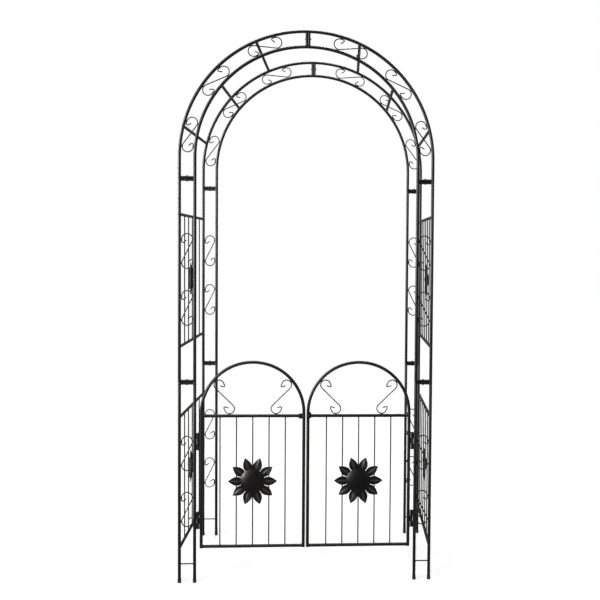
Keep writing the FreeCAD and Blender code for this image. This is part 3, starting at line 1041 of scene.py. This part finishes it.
def petalHeight(share, across, width):        # across from -1 to 1, width in metres
    start = flower["bodyStart"]
    body = max(0.0, math.sin(math.pi * (start + (1 - start) * share)))
    crown = flower["crown"] * (1 - across ** 2) * body
    ridge = flower["ridge"] * math.exp(-(across * width / flower["ridgeWidth"]) ** 2) * body
    fromVein = (abs(across) - flower["veinPlace"]) * width
    vein = flower["veinDepth"] * math.exp(-(fromVein / flower["veinWidth"]) ** 2)
    vein = vein * body ** flower["veinFade"]
    rim = flower["rimLift"] * across ** flower["rimPower"] * body
    return crown + ridge - vein + rim


def petalSector(tip):        # flat parts lie at height 0, the petal points along +X
    vertices = []
    raised = []
    faces = []
    base = flower["baseShare"] * tip
    halfPitch = math.pi / flower["petals"]
    acrossSteps = flower["acrossSteps"]
    baseTurn = math.asin(petalHalfWidth(0) / flower["baseShare"])
    for row in range(flower["alongSteps"] + 1):
        share = (row / flower["alongSteps"]) ** flower["stepBias"]
        radius = base + (tip - base) * share
        width = petalHalfWidth(share) * tip
        for column in range(acrossSteps + 1):
            across = 2 * column / acrossSteps - 1
            height = petalHeight(share, across, width)
            if row == 0:
                turn = baseTurn * across
                vertices.append(Vector((base * math.cos(turn), base * math.sin(turn), height)))
            else:
                bow = (1 - math.cos(baseTurn * across)) * base * (1 - share) ** 2
                vertices.append(Vector((radius - bow, width * across, height)))
            # how proud each point stands, which the flower coat turns into painted highlight on ridges and
            # painted shade in hollows
            raised.append(height / (flower["crown"] + flower["ridge"]))
    for row in range(flower["alongSteps"]):
        for column in range(acrossSteps):
            first = row * (acrossSteps + 1) + column
            faces.append((first, first + acrossSteps + 1, first + acrossSteps + 2, first + 1))

    turns = [-halfPitch] + [baseTurn * (2 * column / acrossSteps - 1) for column in range(acrossSteps + 1)]
    turns.append(halfPitch)
    start = len(vertices)
    for share in flower["discRings"]:
        for turn in turns:
            height = 0.0
            if share == 1.0 and abs(turn) < halfPitch:        # meets the foot of the petal
                height = petalHeight(0, turn / baseTurn, petalHalfWidth(0) * tip)
            vertices.append(Vector((base * share * math.cos(turn), base * share * math.sin(turn), height)))
            raised.append(0.0)
    columns = len(turns)
    last = start + (len(flower["discRings"]) - 1) * columns
    for rowStart in range(start, last, columns):
        for column in range(columns - 1):
            first = rowStart + column
            faces.append((first, first + 1, first + columns + 1, first + columns))
    middle = len(vertices)
    vertices.append(Vector((0, 0, 0)))
    raised.append(0.0)
    for column in range(columns - 1):
        faces.append((last + column, last + column + 1, middle))

    mesh = bpy.data.meshes.new("sector")
    mesh.from_pydata(vertices, [], faces)
    mesh.attributes.new("raised", "FLOAT", "POINT").data.foreach_set("value", raised)
    shape = bmesh.new()
    shape.from_mesh(mesh)
    bmesh.ops.remove_doubles(shape, verts=shape.verts, dist=roundness["merge"])
    bmesh.ops.recalc_face_normals(shape, faces=shape.faces)
    if sum(face.normal.z for face in shape.faces) < 0:
        bmesh.ops.reverse_faces(shape, faces=shape.faces)
    shape.to_mesh(mesh)
    shape.free()
    return mesh


def thickened(mesh, thickness):        # a wall under the sheet's upper side
    return modified(mesh, "SOLIDIFY", {"thickness": thickness, "offset": -1.0, "use_rim": True}, {})


def domeMesh(radius, height):
    ball = (radius ** 2 + height ** 2) / (2 * height)
    lean = math.asin(radius / ball)
    skirt = flower["domeSkirt"]
    corner = flower["domeCorner"]
    profile = [(radius * flower["domeFoot"], 0.0), (radius - corner, 0.0), (radius, corner)]
    for step in range(flower["domeRings"] + 1):
        angle = lean * (1 - step / flower["domeRings"])
        rise = (height - skirt) * (1 - (1 - math.cos(angle)) / (1 - math.cos(lean)))
        wide = ball * math.sin(angle) * flower["domeTaper"]
        profile.append((max(flower["domeTip"], wide), skirt + rise))
    return lathe(profile, count=flower["domeSides"])


def makeFlower(prefix, body, outward):
    petalsLow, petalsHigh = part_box(prefix + "_petals")
    domeLow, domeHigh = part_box(prefix + "_flower_centre")
    petalsSize = petalsHigh - petalsLow
    domeSize = domeHigh - domeLow
    centre = (petalsLow + petalsHigh) / 2
    aside = upward.cross(outward)
    seat = centre.dot(outward) - abs(petalsSize.dot(outward)) / 2
    tip = abs(petalsSize.dot(aside)) / 2
    turned = Matrix((aside, upward, outward)).transposed().to_4x4()
    turned.translation = centre + outward * (seat - centre.dot(outward))
    seated = turned @ Matrix.Translation((0, 0, flower["sheet"]))
    petals = runTree(petalSector(tip), petalRing, {
        "Petals": flower["petals"], "Merge": flower["merge"], "Material": flowerCoat})
    petals = moved(thickened(petals, flower["sheet"]), seated)
    dome = moved(domeMesh(abs(domeSize.dot(aside)) / 2, abs(domeSize.dot(outward))), seated)
    piece(prefix + "_pressed_petals", body, [petals], flowerCoat, [prefix + "_petals"], sharp=55)
    piece(prefix + "_dome", body, [dome], flowerCoat, [prefix + "_flower_centre"], sharp=50)


for name, side in sides.items():
    makeFlower(name + "_gate", "gate_" + name, -backward)
    for level in ("lower", "upper"):
        makeFlower(f"{name}_{level}_side", "arch", rightward * side)
print("sunflowers made")


# Gate leaves: a bent tube, two rails, thin rods and two scrolls each

gate = {
    "rods": 5,
    "rodRadius": 2.5 * mm,
    "curlSize": 43.5 * mm,
    "footOffset": 92.0 * mm,
    "headAngle": 40.0,
    "railIntoStile": 5.0 * mm,
    "railWeld": 0.995,        # just under the radius, so that the loop closes round the stile
    "arcSteps": 72,
    "wall": 0.9 * mm,
    "hollowDepth": 12.0 * mm,
    "tackJitter": 0.15,
    "tackSeed": 9,
}


def leafPoint(offset, height, side):        # offset from the middle of the leaf towards the hinges
    return Vector(((leafX + offset) * side, frontY, height))


def hollowed(mesh):        # opens the flat ends of a tube
    shape = bmesh.new()
    shape.from_mesh(mesh)
    ends = [face for face in shape.faces if len(face.verts) == roundness["tube"]]
    bmesh.ops.inset_individual(shape, faces=ends, thickness=gate["wall"], depth=0.0)
    bmesh.ops.inset_individual(shape, faces=ends, thickness=0.0, depth=-gate["hollowDepth"])
    return finished(shape)


def leafScroll(end, side):        # from the mid rail to the arch of the leaf
    outside = gate["curlSize"] / 2
    curl = outside - scroll["wire"] / 2
    archReach = leafRadius - tubeRadius - scroll["gap"] - outside
    turn = math.radians(gate["headAngle"])
    foot = Vector((gate["footOffset"], 0, midRail + tubeRadius + scroll["gap"] + outside))
    head = Vector((archReach * math.cos(turn), 0, leafArchCentre + archReach * math.sin(turn)))
    reach = (head - foot).length / 2
    rise = (head - foot).normalized()
    acrossWay = Vector((-rise.z, 0, rise.x))
    middle = (head + foot) / 2
    points = []
    for across, along in scrollLine(curl, reach):
        place = middle + rise * along + acrossWay * across
        points.append(leafPoint(place.x * end, place.z, side))
    touch = head + Vector((math.cos(turn), 0, math.sin(turn))) * outside
    tangent = Vector((-math.sin(turn) * end * side, 0, math.cos(turn)))
    below = foot - upward * outside
    tacks = [(leafPoint(touch.x * end, touch.z, side), tangent, backward),
             (leafPoint(below.x * end, below.z, side), rightward, backward)]
    return scrollPath(points), tacks


def makeLeaf(name, side):
    body = "gate_" + name
    line = [leafPoint(leafRadius, gateLow.z, side)]
    for number in range(gate["arcSteps"] + 1):
        turn = math.pi * number / gate["arcSteps"]
        height = leafArchCentre + leafRadius * math.sin(turn)
        line.append(leafPoint(leafRadius * math.cos(turn), height, side))
    line.append(leafPoint(-leafRadius, gateLow.z, side))
    bent = hollowed(bars([endedPath(line, lipEnd)], tubeRadius, "tube"))
    railReach = leafRadius - tubeRadius + gate["railIntoStile"]
    rails = []
    loops = []
    for height in (bottomRail, midRail):
        ends = [leafPoint(offset, height, side) for offset in (-railReach, railReach)]
        rails.append(endedPath(ends, plainEnd))
        for end in (-1, 1):
            stile = leafPoint(leafRadius * end, height, side)
            loops.append(saddle(stile, upward, rightward * (-end * side), tubeRadius * gate["railWeld"]))
    meshes = [bent, bars(rails, tubeRadius, "tube"), beads(loops, weld["beadRadius"])]
    piece(name + "_leaf_frame", body, meshes, tubeCoat, [name + "_gate_frame"])

    pitch = (gateRods[1].x - gateRods[0].x - 2 * gate["rodRadius"]) / (gate["rods"] - 1)
    rods = rodsBetween(lambda offset, height: leafPoint(offset, height, side), bottomRail, midRail, pitch,
                       rightward * side, gate["rods"], gate["rodRadius"], tubeRadius)
    piece(name + "_leaf_rods", body, rods, tubeCoat, [name + "_gate_rods"])

    paths, tacks = apart([leafScroll(end, side) for end in (1, -1)])
    wires = bars(paths, scroll["wire"] / 2, "wire", wireCoat)
    welds = setOnPoints(tacks, tack, wireCoat, gate["tackJitter"], gate["tackSeed"])
    piece(name + "_leaf_scrolls", body, [wires, welds], wireCoat, [name + "_gate_scrolls"])


for name, side in sides.items():
    makeLeaf(name, side)
print("gate leaves made")


# Hinges: two knuckles on the frame's plate, one on the gate's plate, and a pin

hinge = {
    "heights": (250.0 * mm, 567.0 * mm),
    "length": 68.0 * mm,
    "plate": 1.0 * mm,
    "plateSink": 0.4 * mm,
    "knuckleRadius": 4.8 * mm,
    "knuckleGap": 0.4 * mm,
    "pinRadius": 2.5 * mm,
    "pinClearance": 0.22 * mm,
    "pinMiddle": 1.0 * mm,
    "pinTip": (0.4 * mm, 0.5 * mm),
    "headRadius": 4.0 * mm,
    "headHeight": 2.0 * mm,
    "headShape": ((1.0, 0.0), (1.0, 0.45), (0.86, 0.775), (0.5, 0.96), (0.075, 1.0)),
    "webHalf": 2.6 * mm,        # half the width of the plates and of the webs to the knuckles
    "edge": 0.3 * mm,
    "beadSteps": 22,
    "beadOut": 0.2 * mm,
    "beadSink": 0.1 * mm,
    "beadSwell": 1.2,
}


def knuckleMesh(x, low, high):
    outside = hinge["knuckleRadius"]
    bore = hinge["pinRadius"] + hinge["pinClearance"]
    edge = hinge["edge"]
    profile = [(outside - edge, low), (outside, low + edge), (outside, high - edge), (outside - edge, high),
               (bore, high), (bore, low)]
    return moved(lathe(profile, closed=True), Matrix.Translation((x, frontY, 0)))


def hingeBox(first, second, low, high, side):        # between two distances from the middle of the arch
    ends = sorted((first * side, second * side))
    return boxed(Vector((ends[0], frontY - hinge["webHalf"], low)),
                 Vector((ends[1], frontY + hinge["webHalf"], high)), hinge["edge"])


def plateBeads(x, low, high):        # a run of weld down each edge of a plate
    lines = []
    count = hinge["beadSteps"]
    for edgeY in (-1, 1):
        y = frontY + edgeY * (hinge["webHalf"] + hinge["beadOut"])
        points = [Vector((x, y, low + (high - low) * number / count)) for number in range(count + 1)]
        lines.append(endedPath(points, roundEnd(weld["smallBeadRadius"])))
    return beads(lines, weld["smallBeadRadius"] * hinge["beadSwell"])


def pinHead(sizes, under):
    return [(sizes["headRadius"] * wide, under + sizes["headHeight"] * tall)
            for wide, tall in sizes["headShape"]]


def hingePin(x, low, high):        # its head on top of the knuckles
    radius = hinge["pinRadius"]
    tipInset, tipLength = hinge["pinTip"]
    stem = [(hinge["pinMiddle"], low), (radius - tipInset, low), (radius, low + tipLength), (radius, high)]
    return moved(lathe(stem + pinHead(hinge, high)), Matrix.Translation((x, frontY, 0)))


def makeHinges(name, side):
    pinLow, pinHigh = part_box(name + "_hinge_pins")
    axisX = abs(pinLow.x + pinHigh.x) / 2
    frameSeat = innerX - tubeRadius
    gateSeat = leafX + leafRadius + tubeRadius
    bore = hinge["pinRadius"] + hinge["pinClearance"]
    sink = hinge["plateSink"]
    share = hinge["length"] / 3
    gap = hinge["knuckleGap"] / 2
    frameMeshes = []
    gateMeshes = []
    pins = []
    for height in hinge["heights"]:
        low = height - hinge["length"] / 2
        high = height + hinge["length"] / 2
        frameMeshes.append(hingeBox(frameSeat - hinge["plate"], frameSeat + sink, low, high, side))
        gateMeshes.append(hingeBox(gateSeat - sink, gateSeat + hinge["plate"], low, high, side))
        for start, end in ((low, low + share - gap), (high - share + gap, high)):
            frameMeshes += [knuckleMesh(axisX * side, start, end),
                            hingeBox(axisX + bore, frameSeat, start, end, side)]
        start = low + share + gap
        end = high - share - gap
        gateMeshes += [knuckleMesh(axisX * side, start, end),
                       hingeBox(gateSeat, axisX - bore, start, end, side)]
        frameMeshes.append(plateBeads((frameSeat + hinge["beadSink"]) * side, low, high))
        gateMeshes.append(plateBeads((gateSeat - hinge["beadSink"]) * side, low, high))
        pins.append(hingePin(axisX * side, low, high))
    piece(name + "_hinge_fixed_side", "arch", frameMeshes, tubeCoat, [name + "_hinge_frame_leaves"])
    piece(name + "_hinge_moving_side", "gate_" + name, gateMeshes, tubeCoat, [name + "_hinge_gate_leaves"])
    piece(name + "_hinge_round_pins", "arch", pins, fastenerSteel, [name + "_hinge_pins"])


for name, side in sides.items():
    makeHinges(name, side)
print("hinges made")


# Drop latch: bracket, pivoted bar and pin on the left leaf, keeper on the right leaf

latch = {
    "edge": 0.35 * mm,
    "corner": 2.5 * mm,
    "cornerSteps": 5,
    "tackPlaces": (4.0 * mm, 11.0 * mm),
    "tackJitter": 0.2,
    "tackSeed": 3,
    "barWidth": 9.0 * mm,
    "barThickness": 3.0 * mm,
    "barEndStep": 15,
    "gripShare": 0.6,
    "pinMiddle": 1.0 * mm,
    "pinRadius": 2.0 * mm,
    "headRadius": 4.0 * mm,
    "headHeight": 1.6 * mm,
    "headShape": ((1.0, 0.0), (1.0, 0.4), (0.8, 0.78), (0.4, 0.975), (0.05, 1.0)),
}


def roundedRectangle(lowX, lowY, highX, highY, radius):
    centres = ((highX - radius, highY - radius, 0), (lowX + radius, highY - radius, 90),
               (lowX + radius, lowY + radius, 180), (highX - radius, lowY + radius, 270))
    points = []
    for x, y, start in centres:
        for step in range(latch["cornerSteps"] + 1):
            turn = math.radians(start + 90 * step / latch["cornerSteps"])
            points.append((x + radius * math.cos(turn), y + radius * math.sin(turn)))
    return points


def facingFront(y):        # X stays, the flat outline's Y becomes Z, and its thickness runs to the front
    return Matrix(((1, 0, 0, 0), (0, 0, -1, y), (0, 1, 0, 0), (0, 0, 0, 1)))


def makeBracket():
    low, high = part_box("latch_bracket")
    outline = roundedRectangle(low.x, low.z, high.x, high.z, latch["corner"])
    plate = moved(slab(outline, high.y - low.y, latch["edge"]), facingFront(high.y))
    spots = [(Vector((low.x + reach, high.y, z)), rightward, backward)
             for reach in latch["tackPlaces"] for z in (low.z, high.z)]
    welds = setOnPoints(spots, tack, tubeCoat, latch["tackJitter"], latch["tackSeed"])
    piece("latch_mounting_plate", "gate_left", [plate, welds], tubeCoat, ["latch_bracket"])


def makeBarAndPin():
    low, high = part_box("latch_bar")
    half = latch["barWidth"] / 2
    pivotX = (low.x + high.x) / 2
    pivotZ = low.z + half
    outline = []
    for angle in range(180, 361, latch["barEndStep"]):
        turn = math.radians(angle)
        outline.append((pivotX + half * math.cos(turn), pivotZ + half * math.sin(turn)))
    outline += [(pivotX + half, high.z), (pivotX - half, high.z)]
    blade = moved(slab(outline, latch["barThickness"], latch["edge"]), facingFront(high.y))
    gripBack = high.y - latch["barThickness"] * latch["gripShare"]
    grip = boxed(Vector((low.x, low.y, high.z - latch["barThickness"])), Vector((high.x, gripBack, high.z)),
                 latch["edge"] * 2)
    piece("latch_swing_bar", "latch_bar", [blade, grip], tubeCoat, ["latch_bar"])

    pinLow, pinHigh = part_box("latch_pin")
    under = pinHigh.y - pinLow.y - latch["headHeight"]
    stem = [(latch["pinMiddle"], 0.0), (latch["pinRadius"], 0.0), (latch["pinRadius"], under)]
    toFront = Matrix.Translation((pivotX, pinHigh.y, pivotZ)) @ Matrix.Rotation(math.pi / 2, 4, "X")
    pin = moved(lathe(stem + pinHead(latch, under)), toFront)
    piece("latch_round_pin", "gate_left", [pin], fastenerSteel, ["latch_pin"])


def makeKeeper():
    hook = softened("latch_keeper", latch["edge"])
    piece("latch_keeper_hook", "gate_right", [hook], tubeCoat, ["latch_keeper"])


makeBracket()
makeBarAndPin()
makeKeeper()
print("latch made")


# Stage, light and camera

stage = {
    "floorSize": 40.0,
    "floorColour": (0.86, 0.86, 0.86, 1),
    "glowColour": (1, 1, 1, 1),
    "nearGlow": 0.43,
    "farGlow": 0.70,
    "glowReach": (2.4, 7.4),
    "worldGlow": 0.35,
}
camera = {
    "place": (0.1566, -3.6486, 1.3385),
    "yaw": 3.581,
    "pitch": 2.045,
    "roll": 0.539,
    "lens": 50.54,
    "sensor": 36.0,
    "shift": (-0.1647, -0.0340),
    "farthest": 100.0,
}
lamps = {        # place, target, size, power, and whether only reflections show it
    "key": ((-3.2, -3.4, 4.2), (0, 0, 1.1), (2.0, 2.0), 130.0, False),
    "fill": ((3.6, -2.8, 2.2), (0, 0, 1.0), (2.4, 2.4), 50.0, False),
    "back": ((0.5, 3.6, 3.8), (0, 0, 1.2), (3.0, 1.5), 60.0, False),
    "frontStrip": ((-4.2, -2.9, 2.1), (0, 0, 0.9), (0.4, 3.0), 2000.0, True),
    "leftStrip": ((-4.4, -0.2, 2.3), (0, 0, 1.6), (0.8, 2.2), 1100.0, True),
    "topStrip": ((-0.4, 0.3, 4.8), (0, 0, 1.0), (3.0, 1.2), 700.0, True),
}


def seenDirectly(make):        # camera, mirror and see-through rays
    rays = make.node("ShaderNodeLightPath").socket.node.outputs
    total = Flow(make, rays["Is Camera Ray"]) + Flow(make, rays["Is Glossy Ray"])
    total = total + Flow(make, rays["Is Transmission Ray"])
    return total.maths("MINIMUM", total, 1.0)


def makeStage():
    size = stage["floorSize"] / 2
    mesh = bpy.data.meshes.new("floor")
    corners = [(-size, -size, 0), (size, -size, 0), (size, size, 0), (-size, size, 0)]
    mesh.from_pydata(corners, [], [(0, 1, 2, 3)])
    floor = inScene("floor", mesh)
    material, make = newMaterial("pale_floor")
    place = make.node("ShaderNodeTexCoord", output=3)
    distance = make.node("ShaderNodeVectorMath", {"operation": "LENGTH"}, {0: place}, output=1)
    rise = distance.between(*stage["glowReach"]) * (stage["farGlow"] - stage["nearGlow"])
    matte = make.node("ShaderNodeBsdfDiffuse", {}, {"Color": stage["floorColour"]})
    glow = make.node("ShaderNodeEmission", {}, {
        "Color": stage["glowColour"], "Strength": seenDirectly(make) * (stage["nearGlow"] + rise)})
    finishMaterial(make, make.node("ShaderNodeAddShader", {}, {0: matte, 1: glow}))
    mesh.materials.append(material)


def makeWorld():
    world = bpy.data.worlds.new("studio")
    bpy.context.scene.world = world
    world.use_nodes = True
    world.node_tree.nodes.clear()
    make = NodeMaker(world.node_tree)
    strength = stage["worldGlow"] + seenDirectly(make) * (1 - stage["worldGlow"])
    light = make.node("ShaderNodeBackground", {}, {"Color": stage["glowColour"], "Strength": strength})
    make.node("ShaderNodeOutputWorld", {}, {"Surface": light})


def makeLamps():
    for name, (place, target, size, power, glossOnly) in lamps.items():
        data = bpy.data.lights.new(name, "AREA")
        data.shape = "RECTANGLE"
        data.size, data.size_y = size
        data.energy = power
        shown = inScene(name, data)
        shown.location = place
        aim = Vector(target) - Vector(place)
        shown.rotation_euler = aim.to_track_quat("-Z", "Y").to_euler()
        shown.visible_diffuse = not glossOnly


def makeCamera():
    data = bpy.data.cameras.new("photo")
    data.lens = camera["lens"]
    data.sensor_width = camera["sensor"]
    data.shift_x, data.shift_y = camera["shift"]
    data.clip_end = camera["farthest"]
    shown = inScene("photo", data)
    yaw = Matrix.Rotation(-math.radians(camera["yaw"]), 4, "Z")
    pitch = Matrix.Rotation(math.radians(90 - camera["pitch"]), 4, "X")
    roll = Matrix.Rotation(math.radians(camera["roll"]), 4, "Z")
    shown.matrix_world = Matrix.Translation(camera["place"]) @ yaw @ pitch @ roll
    bpy.context.scene.camera = shown


makeStage()
makeWorld()
makeLamps()
makeCamera()
bpy.context.scene.view_settings.view_transform = "Standard"
print("stage, lamps and camera set")
